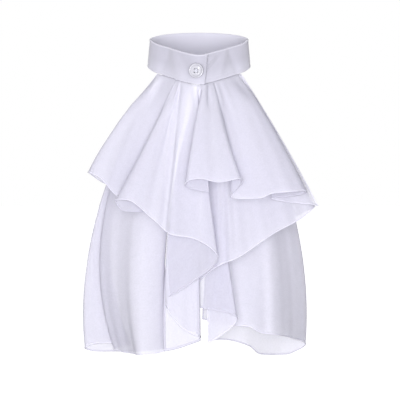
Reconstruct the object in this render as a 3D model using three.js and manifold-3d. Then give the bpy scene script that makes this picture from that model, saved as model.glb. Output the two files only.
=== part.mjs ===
// Jabot: a buttoned stand band with flounces of thin cloth gathered onto the front of its lower edge.
// Millimetres. The origin is the middle of the neck opening, the wearer faces -Y, and +Z is up.
import * as THREE from 'three';
import { mergeVertices } from 'three/addons/utils/BufferGeometryUtils.js';
import Module from 'manifold-3d';

const wasm = await Module();
wasm.setup();

// Neck band
const band_radius = 58;
const band_height = 32.5;
const band_wall = 3;
const band_flare = 1.5;
const band_lift = 2;
const band_front_tilt = 0.28;
const band_back_tilt = 0.165;
const band_stations = 84;
const lap_end_top = 9.4;
const lap_end_bottom = 5.6;
const lap_under = 12;
const lap_full = 20;
const lap_ease = 35;

// Flounces
const half_width = 132;
const fall = 348;
const front_depth = 114;
const cloth_wall = 1;
const cloth_gap = 0.3;
const gather_turn = 70;
const span_steps = 3;

// Button and its thread
const button_diameter = 17;
const button_thickness = 3;
const button_rim_width = 1.9;
const button_dish = 0.9;
const button_hole = 2.2;
const button_hole_spacing = 3.1;
const button_across = -2;
const button_height_share = -0.04;
const button_gap = 0.3;
const button_sides = 32;
const hole_sides = 10;
const thread_diameter = 1.1;
const thread_sides = 8;
const thread_leg_share = 0.9;

const layer_pitch = cloth_wall + cloth_gap;
const lap_step = band_wall + cloth_gap;
const degrees = Math.PI / 180;

// Plan of the band: degrees round from the front, and the reach there as a share of band_radius.
const band_plan = [
  { turn: 0, reach: 0.983 },
  { turn: 15, reach: 0.87 },
  { turn: 30, reach: 0.795 },
  { turn: 45, reach: 0.775 },
  { turn: 60, reach: 0.805 },
  { turn: 75, reach: 0.89 },
  { turn: 90, reach: 0.975 },
  { turn: 105, reach: 1.02 },
  { turn: 120, reach: 1.01 },
  { turn: 150, reach: 0.94 },
  { turn: 180, reach: 0.9 },
];

// Outline of the button's raised rim: out as a share of its width, up as a share of the thickness.
const button_rim = [
  { out: 0, up: 0 },
  { out: 0.75, up: 0.2 },
  { out: 1, up: 0.47 },
  { out: 1, up: 0.74 },
  { out: 0.82, up: 0.93 },
  { out: 0.52, up: 1 },
  { out: 0, up: 0.92 },
];

// How far the dish slopes in from the rim, for each millimetre of its depth.
const dish_slope = 0.8;

// Each flounce is a row for each bend of its hem.
// seam: place on the band, from -1 to 1 across the gathered front
// layer: cloth layers in from the band's outer face
// lap: 1 under the outer end of the band, 0 under its inner end
// out: sideways place of the hem, as a share of half_width
// drop: place of the hem below the neck centre, as a share of fall
// depth: place of the hem before the neck centre, as a share of front_depth
// bow: how far the cloth stands sideways of a straight line halfway down, as a share of half_width
const columns = ['seam', 'layer', 'lap', 'out', 'drop', 'depth', 'bow'];

// The flounce on the -X side runs on into the cascade at the front.
const left_flounce_rows = [
  [-1.00, 0.0, 1.00, -0.620, 0.430, 0.330, -0.04],
  [-0.99, 0.0, 1.00, -0.820, 0.410, 0.380, -0.05],
  [-0.975, 0.0, 1.00, -0.950, 0.375, 0.440, -0.06],
  [-0.93, 0.0, 1.00, -0.870, 0.385, 0.510, -0.05],
  [-0.78, 0.0, 1.00, -0.700, 0.450, 0.560, -0.03],
  [-0.50, 0.0, 1.00, -0.475, 0.500, 0.630, 0.00],
  [-0.45, 0.0, 1.00, -0.650, 0.495, 0.700, 0.00],
  [-0.42, 0.0, 1.00, -0.715, 0.460, 0.755, 0.00],
  [-0.39, 0.0, 1.00, -0.615, 0.455, 0.825, 0.00],
  [-0.35, 0.0, 1.00, -0.430, 0.505, 0.815, 0.00],
  [-0.32, 0.0, 1.00, -0.345, 0.535, 0.780, 0.00],
  [-0.29, 0.0, 1.00, -0.295, 0.555, 0.745, 0.00],
  [-0.24, 0.0, 1.00, -0.220, 0.570, 0.790, -0.02],
  [-0.12, 0.0, 1.00, -0.060, 0.580, 0.770, 0.00],
  [-0.05, 0.4, 1.00, 0.120, 0.620, 0.745, 0.00],
  [-0.03, 0.7, 1.00, 0.160, 0.645, 0.720, 0.00],
  [-0.01, 1.0, 1.00, -0.070, 0.730, 0.675, -0.03],
  [0.01, 1.3, 1.00, -0.285, 0.795, 0.645, -0.10],
  [0.03, 1.6, 1.00, -0.120, 0.885, 0.605, -0.05],
  [0.045, 1.9, 1.00, 0.030, 0.915, 0.575, 0.00],
  [0.06, 2.1, 1.00, -0.060, 0.930, 0.550, -0.02],
  [0.07, 2.35, 1.00, -0.200, 0.950, 0.535, -0.07],
  [0.08, 2.6, 1.00, -0.300, 0.958, 0.525, -0.11],
];

// The flounce on the +X side starts in a flap that is turned under along its front edge.
const right_flounce_rows = [
  [0.030, 0.6, 1.00, 0.085, 0.430, 0.850, 0.00],
  [0.040, 0.45, 1.00, -0.025, 0.423, 0.870, -0.01],
  [0.050, 0.25, 1.00, -0.107, 0.412, 0.910, -0.02],
  [0.065, 0.0, 1.00, -0.096, 0.393, 0.955, -0.02],
  [0.100, 0.0, 0.85, 0.010, 0.384, 0.980, 0.00],
  [0.160, 0.0, 0.25, 0.160, 0.396, 1.000, 0.00],
  [0.230, 0.0, 0.00, 0.335, 0.385, 0.955, -0.01],
  [0.250, 0.0, 0.00, 0.358, 0.396, 0.910, -0.01],
  [0.275, 0.0, 0.00, 0.312, 0.422, 0.870, 0.02],
  [0.300, 0.0, 0.00, 0.253, 0.445, 0.835, 0.04],
  [0.350, 0.0, 0.00, 0.338, 0.453, 0.807, 0.03],
  [0.500, 0.0, 0.00, 0.532, 0.451, 0.807, 0.02],
  [0.620, 0.0, 0.00, 0.617, 0.435, 0.800, 0.02],
  [0.780, 0.0, 0.00, 0.753, 0.435, 0.755, 0.02],
  [0.870, 0.0, 0.00, 0.857, 0.432, 0.693, 0.03],
  [0.900, 0.0, 0.00, 0.905, 0.438, 0.655, 0.03],
  [0.925, 0.0, 0.00, 0.790, 0.448, 0.625, 0.03],
  [0.945, 0.0, 0.00, 0.610, 0.456, 0.600, 0.03],
  [0.965, 0.0, 0.00, 0.780, 0.470, 0.550, 0.02],
  [0.985, 0.0, 0.00, 0.960, 0.478, 0.490, 0.02],
  [1.000, 0.0, 0.00, 1.015, 0.486, 0.440, 0.02],
];

// The under flounce on the +X side runs down into the second cascade.
const right_cascade_rows = [
  [1.00, 1.0, 0.00, 0.640, 0.552, 0.310, 0.03],
  [0.99, 1.0, 0.00, 0.860, 0.515, 0.330, 0.02],
  [0.98, 1.0, 0.00, 1.000, 0.487, 0.370, 0.02],
  [0.95, 1.0, 0.00, 0.880, 0.523, 0.480, 0.02],
  [0.85, 1.0, 0.00, 0.650, 0.568, 0.580, 0.01],
  [0.50, 1.0, 0.00, 0.290, 0.657, 0.600, 0.00],
  [0.36, 1.0, 0.00, 0.196, 0.670, 0.580, 0.00],
  [0.20, 1.0, 0.00, -0.010, 0.747, 0.520, 0.00],
  [0.16, 1.2, 0.00, -0.010, 0.806, 0.500, 0.00],
  [0.11, 1.4, 0.00, 0.308, 0.839, 0.490, 0.00],
  [0.08, 1.5, 0.00, 0.334, 0.853, 0.470, 0.00],
  [0.05, 1.6, 0.00, 0.292, 0.877, 0.450, 0.00],
  [0.02, 1.8, 0.00, 0.077, 0.938, 0.425, 0.00],
];

// The lowest flounce on the +X side, whose hem comes round to the back.
const lower_right_rows = [
  [0.46, 2.0, 0.00, 0.026, 0.860, 0.265, 0.00],
  [0.50, 2.0, 0.00, 0.175, 0.873, 0.270, 0.00],
  [0.56, 2.0, 0.00, 0.362, 0.884, 0.265, 0.02],
  [0.60, 2.0, 0.00, 0.440, 0.885, 0.275, 0.04],
  [0.64, 2.0, 0.00, 0.520, 0.902, 0.330, 0.07],
  [0.70, 2.0, 0.00, 0.610, 0.905, 0.400, 0.11],
  [0.76, 2.0, 0.00, 0.685, 0.910, 0.350, 0.12],
  [0.82, 2.0, 0.00, 0.755, 0.920, 0.200, 0.13],
  [0.88, 2.0, 0.00, 0.820, 0.936, 0.010, 0.15],
  [0.92, 2.3, 0.00, 0.910, 0.950, -0.150, 0.20],
  [0.94, 2.8, 0.00, 0.944, 0.967, -0.220, 0.20],
  [0.955, 3.4, 0.00, 0.867, 0.985, -0.250, 0.20],
  [0.965, 4.0, 0.00, 0.766, 1.000, -0.245, 0.18],
  [0.974, 4.6, 0.00, 0.664, 0.999, -0.210, 0.14],
  [0.982, 5.2, 0.00, 0.520, 0.992, -0.120, 0.09],
  [0.988, 5.8, 0.00, 0.455, 0.966, -0.060, 0.05],
  [0.994, 6.4, 0.00, 0.200, 0.938, 0.020, 0.00],
  [1.0, 7.0, 0.00, 0.078, 0.942, 0.060, 0.00],
];

// The lowest flounce on the -X side, with a pleat in its front and its hem round to the back.
const lower_left_rows = [
  [-0.12, 2.0, 1.00, -0.340, 0.955, 0.285, -0.08],
  [-0.15, 1.5, 1.00, -0.285, 0.960, 0.320, -0.08],
  [-0.20, 1.0, 1.00, -0.340, 0.968, 0.340, -0.10],
  [-0.28, 1.0, 1.00, -0.410, 0.970, 0.410, -0.13],
  [-0.36, 1.0, 1.00, -0.480, 0.971, 0.435, -0.15],
  [-0.46, 1.0, 1.00, -0.545, 0.974, 0.390, -0.19],
  [-0.54, 1.0, 1.00, -0.595, 0.976, 0.250, -0.23],
  [-0.62, 1.0, 1.00, -0.635, 0.975, 0.130, -0.27],
  [-0.70, 1.0, 1.00, -0.690, 0.973, 0.050, -0.31],
  [-0.78, 1.0, 1.00, -0.740, 0.970, 0.010, -0.33],
  [-0.81, 1.7, 1.00, -0.690, 0.962, -0.040, -0.32],
  [-0.83, 2.4, 1.00, -0.590, 0.957, -0.070, -0.31],
  [-0.85, 3.1, 1.00, -0.660, 0.956, -0.110, -0.30],
  [-0.87, 3.2, 1.00, -0.775, 0.956, -0.120, -0.29],
  [-0.89, 3.3, 1.00, -0.880, 0.955, -0.120, -0.28],
  [-0.91, 3.4, 1.00, -0.972, 0.963, -0.130, -0.24],
  [-0.93, 3.7, 1.00, -1.000, 0.974, -0.155, -0.23],
  [-0.945, 4.2, 1.00, -0.960, 0.984, -0.185, -0.23],
  [-0.955, 4.8, 1.00, -0.870, 0.987, -0.200, -0.205],
  [-0.965, 5.4, 1.00, -0.750, 0.986, -0.190, -0.19],
  [-0.975, 6.0, 1.00, -0.644, 0.984, -0.140, -0.15],
  [-0.985, 6.6, 1.00, -0.497, 0.980, -0.050, -0.08],
  [-1.0, 7.2, 1.00, -0.290, 0.965, 0.050, 0.00],
];

// How far each flounce stands forward of a straight line halfway down.
const left_flounce_puff = 9;
const right_flounce_puff = 12;
const right_cascade_puff = 4;
const lower_right_puff = -4;
const lower_left_puff = -4;

// Rows of cloth faces from the seam to the hem.
const upper_rows_down = 7;
const cascade_rows_down = 9;
const lower_rows_down = 7;

const band_cloth = { color: 0xdedcea, roughness: 0.85, metalness: 0 };
const thin_cloth = { color: 0xeceaf6, roughness: 0.8, metalness: 0 };
const button_white = { color: 0xf2f2f6, roughness: 0.35, metalness: 0 };
const thread_white = { color: 0xe4e4ec, roughness: 0.9, metalness: 0 };

function ease(from, to, value) {
  return THREE.MathUtils.smoothstep(value, from, to);
}

// A smooth curve through a table, for each of its named columns, that never overshoots a row.
function smoothTable(rows, names, places) {
  const last = rows.length - 1;
  const slopes = rows.slice(1).map((row, i) => {
    const width = places[i + 1] - places[i];
    return Object.fromEntries(names.map((name) => [name, (row[name] - rows[i][name]) / width]));
  });
  function tangent(i, name) {
    if (i === 0) return slopes[0][name];
    if (i === last) return slopes[last - 1][name];
    const before = slopes[i - 1][name];
    const after = slopes[i][name];
    return before * after > 0 ? (2 * before * after) / (before + after) : 0;
  }
  return (place) => {
    let i = 0;
    while (i < last - 1 && place > places[i + 1]) i += 1;
    const width = places[i + 1] - places[i];
    const t = THREE.MathUtils.clamp((place - places[i]) / width, 0, 1);
    const result = {};
    for (const name of names) {
      const start = rows[i][name];
      const rise = rows[i + 1][name] - start;
      const leave = tangent(i, name) * width;
      const arrive = tangent(i + 1, name) * width;
      result[name] = start + t * leave + t * t * (3 * rise - 2 * leave - arrive)
        + t * t * t * (leave + arrive - 2 * rise);
    }
    return result;
  };
}

const mirrored_plan = [{ turn: -15, reach: band_plan[1].reach }, ...band_plan,
  { turn: 210, reach: band_plan.at(-2).reach }];
const plan = smoothTable(mirrored_plan, ['reach'], mirrored_plan.map((row) => row.turn));

// Outline of the band from above, on its outer face, at a turn in degrees from the front.
function planPoint(turn, radius) {
  const around = Math.abs(THREE.MathUtils.euclideanModulo(turn + 180, 360) - 180);
  const reach = plan(around).reach * radius;
  return new THREE.Vector2(Math.sin(turn * degrees) * reach, -Math.cos(turn * degrees) * reach);
}

// level runs from -0.5 at the lower edge to 0.5 at the rim, and outward is from the outer face.
function bandPoint(turn, level, outward) {
  const radius = band_radius - band_flare * 2 * level;
  const place = planPoint(turn, radius);
  const along = planPoint(turn + 1, radius).sub(planPoint(turn - 1, radius)).normalize();
  const tilt = place.y < 0 ? band_front_tilt : band_back_tilt;
  const height = band_lift + tilt * place.y + level * band_height;
  return new THREE.Vector3(place.x + along.y * outward, place.y - along.x * outward, height);
}

// The band's end on the -X side laps over the other end, one wall and a gap further out.
function lapStep(turn) {
  return lap_step * ease(-lap_full - lap_ease, -lap_full, turn);
}

// A closed mesh from a loop of points at each station, capped at both ends.
function sweep(loops) {
  const count = loops[0].length;
  const faces = [];
  for (let i = 0; i < loops.length - 1; i += 1) {
    for (let j = 0; j < count; j += 1) {
      const a = i * count + j;
      const b = i * count + ((j + 1) % count);
      faces.push(a, b, a + count, b, b + count, a + count);
    }
  }
  for (let j = 1; j < count - 1; j += 1) {
    faces.push(0, j + 1, j);
    const end = (loops.length - 1) * count;
    faces.push(end, end + j, end + j + 1);
  }
  return indexed(loops.flat(), faces);
}

function indexed(points, faces) {
  const geometry = new THREE.BufferGeometry().setFromPoints(points);
  geometry.setIndex(faces);
  geometry.computeVertexNormals();
  return geometry;
}

function bandGeometry() {
  const loops = [];
  for (let i = 0; i <= band_stations; i += 1) {
    const share = i / band_stations;
    const turnAt = (level) => {
      const start = THREE.MathUtils.lerp(lap_end_bottom, lap_end_top, level + 0.5);
      return THREE.MathUtils.lerp(start, -360 - lap_under, share);
    };
    const corner = (level, inward) => {
      const turn = turnAt(level);
      return bandPoint(turn, level, lapStep(turn) - inward);
    };
    loops.push([corner(-0.5, 0), corner(0.5, 0), corner(0.5, band_wall), corner(-0.5, band_wall)]);
  }
  return sweep(loops);
}

// Where a flounce is sewn on, just under the band's lower edge.
function seamPoint(row) {
  const turn = row.seam * gather_turn;
  const face = lapStep(turn) * row.lap;
  const point = bandPoint(turn, -0.5, face - cloth_wall / 2 - row.layer * layer_pitch);
  point.z -= cloth_gap;
  return point;
}

function hemPoint(row) {
  return new THREE.Vector3(row.out * half_width, -row.depth * front_depth, -row.drop * fall);
}

// A flounce's middle surface: a line of points down the cloth for each station along the hem.
function clothLines(table, puff, rows_down) {
  const rows = table.map((row) => Object.fromEntries(columns.map((name, i) => [name, row[i]])));
  const places = [0];
  for (let i = 1; i < rows.length; i += 1) {
    places.push(places[i - 1] + hemPoint(rows[i]).distanceTo(hemPoint(rows[i - 1])));
  }
  const rowAt = smoothTable(rows, columns, places);
  const lines = [];
  for (let i = 0; i < rows.length - 1; i += 1) {
    for (let k = 0; k < span_steps; k += 1) {
      const place = THREE.MathUtils.lerp(places[i], places[i + 1], k / span_steps);
      lines.push(clothLine(rowAt(place), puff, rows_down));
    }
  }
  lines.push(clothLine(rows.at(-1), puff, rows_down));
  return lines;
}

function clothLine(row, puff, rows_down) {
  const top = seamPoint(row);
  const hem = hemPoint(row);
  const line = [];
  for (let j = 0; j <= rows_down; j += 1) {
    const share = j / rows_down;
    const arch = 4 * share * (1 - share);
    const point = top.clone().lerp(hem, share);
    point.x += row.bow * half_width * arch;
    point.y -= puff * arch;
    line.push(point);
  }
  return line;
}

// A closed wall of cloth_wall on the middle surface.
function wallGeometry(lines) {
  const down = lines[0].length;
  const normalAt = (i, j) => {
    const across = new THREE.Vector3().subVectors(
      lines[Math.min(i + 1, lines.length - 1)][j], lines[Math.max(i - 1, 0)][j]);
    const along = new THREE.Vector3().subVectors(
      lines[i][Math.min(j + 1, down - 1)], lines[i][Math.max(j - 1, 0)]);
    const normal = across.cross(along);
    if (j === 0) normal.z = 0;
    return normal.normalize();
  };
  const outer = [];
  const inner = [];
  lines.forEach((line, i) => line.forEach((point, j) => {
    const step = normalAt(i, j).multiplyScalar(cloth_wall / 2);
    outer.push(point.clone().add(step));
    inner.push(point.clone().sub(step));
  }));
  const back = outer.length;
  const faces = [];
  const quad = (a, b, c, d) => faces.push(a, b, c, a, c, d);
  const at = (i, j) => i * down + j;
  for (let i = 0; i < lines.length - 1; i += 1) {
    for (let j = 0; j < down - 1; j += 1) {
      quad(at(i, j), at(i + 1, j), at(i + 1, j + 1), at(i, j + 1));
      quad(back + at(i, j), back + at(i, j + 1), back + at(i + 1, j + 1), back + at(i + 1, j));
    }
    quad(at(i, 0), back + at(i, 0), back + at(i + 1, 0), at(i + 1, 0));
    const hem = down - 1;
    quad(at(i, hem), at(i + 1, hem), back + at(i + 1, hem), back + at(i, hem));
  }
  for (let j = 0; j < down - 1; j += 1) {
    quad(at(0, j), at(0, j + 1), back + at(0, j + 1), back + at(0, j));
    const end = lines.length - 1;
    quad(at(end, j), back + at(end, j), back + at(end, j + 1), at(end, j + 1));
  }
  return indexed([...outer, ...inner], faces);
}

function solid(geometry) {
  const bare = geometry.clone();
  bare.deleteAttribute('normal');
  bare.deleteAttribute('uv');
  const merged = mergeVertices(bare, 1e-4);
  return new wasm.Manifold(new wasm.Mesh({
    numProp: 3,
    vertProperties: new Float32Array(merged.attributes.position.array),
    triVerts: new Uint32Array(merged.index.array),
  }));
}

function geometryOf(manifold) {
  const mesh = manifold.getMesh();
  const geometry = new THREE.BufferGeometry();
  geometry.setAttribute('position', new THREE.BufferAttribute(new Float32Array(mesh.vertProperties), 3));
  geometry.setIndex([...mesh.triVerts]);
  geometry.computeVertexNormals();
  return geometry;
}

// The button's own frame has its face towards +Y of a lathe, turned later to face forward.
function holePlaces() {
  const half = button_hole_spacing / 2;
  return [[half, half], [half, -half], [-half, -half], [-half, half]];
}

function buttonGeometry() {
  const radius = button_diameter / 2;
  const inner = radius - button_rim_width;
  const dish = button_thickness - button_dish;
  const profile = [
    [0, 0],
    ...button_rim.map((row) => [inner + row.out * button_rim_width, row.up * button_thickness]),
    [inner - button_dish * dish_slope, dish],
    [0, dish],
  ].map(([x, y]) => new THREE.Vector2(x, y));
  let disc = solid(new THREE.LatheGeometry(profile, button_sides));
  const drill_radius = button_hole / 2;
  const drill_length = 2 * (button_thickness + button_hole);
  for (const [x, z] of holePlaces()) {
    const drill = new THREE.CylinderGeometry(drill_radius, drill_radius, drill_length, hole_sides);
    disc = disc.subtract(solid(drill.translate(x, 0, z)));
  }
  return geometryOf(disc);
}

function threadGeometry() {
  const radius = thread_diameter / 2;
  const top = button_thickness - button_dish + button_gap + radius;
  const half = button_hole_spacing / 2;
  const bar = (angle) => {
    const length = Math.hypot(half, half) * 2 + radius;
    const shape = new THREE.CylinderGeometry(radius, radius, length, thread_sides);
    return solid(shape.rotateX(Math.PI / 2).rotateY(angle).translate(0, top, 0));
  };
  let thread = bar(Math.PI / 4).add(bar(-Math.PI / 4));
  for (const [x, z] of holePlaces()) {
    const leg_radius = radius * thread_leg_share;
    const leg = new THREE.CylinderGeometry(leg_radius, leg_radius, top, thread_sides);
    thread = thread.add(solid(leg.translate(x, top / 2, z)));
  }
  return geometryOf(thread);
}

// The button lies flat on the outer end of the band.
function buttonPlace() {
  const turn = Math.atan2(button_across, band_radius * band_plan[0].reach) / degrees;
  const out = lapStep(turn) + button_gap;
  const half_turn = (button_diameter / 2 / band_radius / 2) / degrees;
  const half_rise = button_diameter / 2 / band_height / 2;
  const at = (step, rise) => bandPoint(turn + step, button_height_share + rise, out);
  const centre = at(0, 0);
  const up = at(0, half_rise).sub(at(0, -half_rise)).normalize();
  const side = at(half_turn, 0).sub(at(-half_turn, 0)).normalize();
  const face = new THREE.Vector3().crossVectors(side, up).normalize();
  const across = new THREE.Vector3().crossVectors(up, face);
  return { centre, turned: new THREE.Matrix4().makeBasis(across, face, up.clone().negate()) };
}

const jabot = new THREE.Group();

function add(name, geometry, finish) {
  const mesh = new THREE.Mesh(geometry, new THREE.MeshStandardMaterial(finish));
  mesh.name = name;
  jabot.add(mesh);
  return mesh;
}

function addFlounce(name, table, puff, rows_down) {
  add(name, wallGeometry(clothLines(table, puff, rows_down)), thin_cloth);
}

add('neck_band', bandGeometry(), band_cloth);
addFlounce('left_flounce', left_flounce_rows, left_flounce_puff, cascade_rows_down);
addFlounce('right_flounce', right_flounce_rows, right_flounce_puff, upper_rows_down);
addFlounce('right_cascade', right_cascade_rows, right_cascade_puff, cascade_rows_down);
addFlounce('lower_left_flounce', lower_left_rows, lower_left_puff, lower_rows_down);
addFlounce('lower_right_flounce', lower_right_rows, lower_right_puff, lower_rows_down);

const { centre, turned } = buttonPlace();
for (const [name, geometry, finish] of [
  ['button', buttonGeometry(), button_white],
  ['button_thread', threadGeometry(), thread_white],
]) {
  const mesh = add(name, geometry, finish);
  mesh.position.copy(centre);
  mesh.quaternion.setFromRotationMatrix(turned);
}

export default jabot;
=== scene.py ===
import math

import bmesh
import bpy
import numpy as np
from mathutils import Matrix, Vector


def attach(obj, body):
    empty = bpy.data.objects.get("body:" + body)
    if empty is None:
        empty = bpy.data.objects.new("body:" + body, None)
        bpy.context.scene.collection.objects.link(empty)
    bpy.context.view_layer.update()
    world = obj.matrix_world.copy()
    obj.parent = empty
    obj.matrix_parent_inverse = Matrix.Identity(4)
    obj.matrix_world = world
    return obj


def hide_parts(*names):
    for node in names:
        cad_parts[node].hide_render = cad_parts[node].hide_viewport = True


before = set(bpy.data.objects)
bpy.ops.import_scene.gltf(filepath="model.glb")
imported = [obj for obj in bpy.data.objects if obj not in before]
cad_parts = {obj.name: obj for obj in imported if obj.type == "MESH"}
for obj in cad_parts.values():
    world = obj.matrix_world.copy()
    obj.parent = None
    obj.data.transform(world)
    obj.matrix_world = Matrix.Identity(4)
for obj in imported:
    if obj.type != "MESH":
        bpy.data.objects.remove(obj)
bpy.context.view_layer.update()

# Neck band
BAND_RADIUS = 0.058
BAND_HEIGHT = 0.0325
BAND_WALL = 0.003
BAND_CLOTH = 0.0022
BAND_FLARE = 0.0015
BAND_LIFT = 0.002
BAND_FRONT_TILT = 0.28
BAND_BACK_TILT = 0.165
TILT_EASE = 0.012
BAND_SEAM_RISE = 0.0042
BAND_SEAM_DEPTH = 0.0004
BAND_SEAM_SPREAD = 0.022
BAND_RIM_RISE = 0.0005
BAND_END_TAPER = 0.0012

# The lapped end of the band, in degrees round from the front
LAP_END_TOP = 9.4
LAP_END_BOTTOM = 5.6
LAP_UNDER = 12
LAP_FULL = 20
LAP_EASE = 35

# Flounces
HALF_WIDTH = 0.132
FALL = 0.348
FRONT_DEPTH = 0.114
GATHER_TURN = 70
CLOTH_WALL = 0.001
CLOTH_GAP = 0.0003
SHEER = 0.00035
HEM_ROLL = 0.0008
GRID_STEP = 0.0028
HEM_SOFTENING = 3
TOP_SOFTENING = 12
WAVE_LENGTHS = (0.085, 0.041, 0.019)
WAVE_HEIGHTS = (0.0011, 0.0005, 0.0002)
WAVE_GROWTH = 1.2
GATHER_LENGTHS = (0.052, 0.026)
GATHER_HEIGHTS = (0.00056, 0.00024)
GATHER_REACH = 0.3
FOLD_RISE = 0.25
FOLD_FADE = 0.2

# A rolled edge's grid steps, and where its denser look ends, all in shares of HEM_ROLL
EDGE_STEPS = (0, 0.15, 0.5, 1, 1.5, 1.85, 2.05, 2.6, 3.6)
STITCHED_STEP = 5
DENSE_TO = 1.7
CLEAR_FROM = 2.4

# Button
BUTTON_DIAMETER = 0.017
BUTTON_THICKNESS = 0.003
BUTTON_RIM_WIDTH = 0.0019
BUTTON_DISH = 0.0009
BUTTON_HOLE = 0.0022
DRILL_LENGTH = 0.02
BUTTON_HOLE_SPACING = 0.0031
BUTTON_ACROSS = -0.002
BUTTON_HEIGHT_SHARE = -0.04
BUTTON_GAP = 0.0003
THREAD_DIAMETER = 0.00055

# Stitches: pitch, length and thickness
HEM_STITCH = (0.0024, 0.0016, 0.00022)
BAND_STITCH = (0.0026, 0.0019, 0.00032)

# Where the band's stitches run: degrees in from the lapped end and past it, degrees round to the back,
# and the level where the row down the lapped end stops.
LAP_STITCH_IN = 3.0
LAP_STITCH_OUT = 1.5
SEAM_STITCH_BACK = 178
LAP_STITCH_TOP = 0.42

LAYER_PITCH = CLOTH_WALL + CLOTH_GAP
LAP_STEP = BAND_WALL + CLOTH_GAP

# Camera
VIEW_TARGET = (0.00115, 0.0, -0.165)
VIEW_DISTANCE = 3.0
VIEW_RISE = 4.0
VIEW_WIDTH = 0.46
SENSOR = 36.0
FLOOR_LEVEL = -0.75
FLOOR_RADIUS = 8
FLOOR_SIDES = 64

# Soft light from all round, and more of it from some sides
LIGHT_ALL_ROUND = 0.12
LIGHT_FROM = [((0, -1, 0), 3.0, 1.3), ((0, 1, 0), 2.0, 0.25), ((0, 0, 1), 1.5, 0.25)]
FRONT_LIGHT_PLACE = (-0.1, -2.4, -0.1)
FRONT_LIGHT_SIZE = 1.0
FRONT_LIGHT_WATTS = 48

# Plan of the band: degrees round from the front, and the reach there as a share of BAND_RADIUS.
BAND_PLAN = [
    (-15, 0.87), (0, 0.983), (15, 0.87), (30, 0.795), (45, 0.775), (60, 0.805), (75, 0.89), (90, 0.975),
    (105, 1.02), (120, 1.01), (150, 0.94), (180, 0.9), (210, 0.94),
]

# Soft creases of the band: where they lie in degrees and in shares of the height, how far they lean in
# degrees over the height, their half width in degrees, half height as a share, and how far they stand out.
BAND_CREASES = [
    (-351, 0.12, 60, 3.0, 0.22, 0.0016),
    (-346, -0.05, 55, 3.5, 0.30, -0.0012),
    (-325, 0.00, 20, 9.0, 0.60, 0.0014),
    (-304, 0.05, -15, 7.0, 0.60, -0.0014),
    (-16, 0.00, -25, 6.0, 0.50, -0.0009),
    (-32, -0.05, -20, 9.0, 0.60, 0.0010),
    (-55, 0.05, 15, 7.0, 0.60, -0.0010),
    (-150, 0.00, 10, 16.0, 0.80, 0.0010),
    (-205, 0.10, -12, 14.0, 0.80, -0.0009),
]

# Each flounce has a row for each bend of its hem.
# seam: place on the band, from -1 to 1 across the gathered front
# layer: cloth layers in from the band's outer face
# lap: 1 under the outer end of the band, 0 under its inner end
# out, drop, depth: place of the hem, as shares of HALF_WIDTH, FALL and FRONT_DEPTH
# bow: how far the cloth stands sideways halfway down, as a share of HALF_WIDTH
LEFT_ROWS = [
    (-1.00, 0.0, 1, -0.620, 0.430, 0.330, -0.04),
    (-0.99, 0.0, 1, -0.820, 0.410, 0.380, -0.05),
    (-0.975, 0.0, 1, -0.950, 0.375, 0.440, -0.06),
    (-0.93, 0.0, 1, -0.870, 0.385, 0.510, -0.05),
    (-0.78, 0.0, 1, -0.700, 0.450, 0.560, -0.03),
    (-0.50, 0.0, 1, -0.475, 0.500, 0.630, 0.00),
    (-0.45, 0.0, 1, -0.650, 0.495, 0.700, 0.00),
    (-0.42, 0.0, 1, -0.715, 0.460, 0.755, 0.00),
    (-0.39, 0.0, 1, -0.615, 0.455, 0.825, 0.00),
    (-0.35, 0.0, 1, -0.430, 0.505, 0.815, 0.00),
    (-0.32, 0.0, 1, -0.345, 0.535, 0.780, 0.00),
    (-0.29, 0.0, 1, -0.295, 0.555, 0.745, 0.00),
    (-0.24, 0.0, 1, -0.220, 0.570, 0.790, -0.02),
    (-0.12, 0.0, 1, -0.060, 0.580, 0.770, 0.00),
    (-0.05, 0.4, 1, 0.120, 0.620, 0.745, 0.00),
    (-0.03, 0.7, 1, 0.160, 0.645, 0.720, 0.00),
    (-0.01, 1.0, 1, -0.070, 0.730, 0.675, -0.03),
    (0.01, 1.3, 1, -0.285, 0.795, 0.645, -0.10),
    (0.03, 1.6, 1, -0.120, 0.885, 0.605, -0.05),
    (0.045, 1.9, 1, 0.030, 0.915, 0.575, 0.00),
    (0.06, 2.1, 1, -0.060, 0.930, 0.550, -0.02),
    (0.07, 2.35, 1, -0.200, 0.950, 0.535, -0.07),
    (0.08, 2.6, 1, -0.300, 0.958, 0.525, -0.11),
]
RIGHT_ROWS = [
    (0.030, 0.6, 1, 0.085, 0.430, 0.850, 0.00),
    (0.040, 0.45, 1, -0.025, 0.423, 0.870, -0.01),
    (0.050, 0.25, 1, -0.107, 0.412, 0.910, -0.02),
    (0.065, 0.0, 1, -0.096, 0.393, 0.955, -0.02),
    (0.100, 0.0, 0.85, 0.010, 0.384, 0.980, 0.00),
    (0.160, 0.0, 0.25, 0.160, 0.396, 1.000, 0.00),
    (0.230, 0.0, 0, 0.335, 0.385, 0.955, -0.01),
    (0.250, 0.0, 0, 0.358, 0.396, 0.910, -0.01),
    (0.275, 0.0, 0, 0.312, 0.422, 0.870, 0.02),
    (0.300, 0.0, 0, 0.253, 0.445, 0.835, 0.04),
    (0.350, 0.0, 0, 0.338, 0.453, 0.807, 0.03),
    (0.500, 0.0, 0, 0.532, 0.451, 0.807, 0.02),
    (0.620, 0.0, 0, 0.617, 0.435, 0.800, 0.02),
    (0.780, 0.0, 0, 0.753, 0.435, 0.755, 0.02),
    (0.870, 0.0, 0, 0.857, 0.432, 0.693, 0.03),
    (0.900, 0.0, 0, 0.905, 0.438, 0.655, 0.03),
    (0.925, 0.0, 0, 0.790, 0.448, 0.625, 0.03),
    (0.945, 0.0, 0, 0.610, 0.456, 0.600, 0.03),
    (0.965, 0.0, 0, 0.780, 0.470, 0.550, 0.02),
    (0.985, 0.0, 0, 0.960, 0.478, 0.490, 0.02),
    (1.000, 0.0, 0, 1.015, 0.486, 0.440, 0.02),
]
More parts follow.
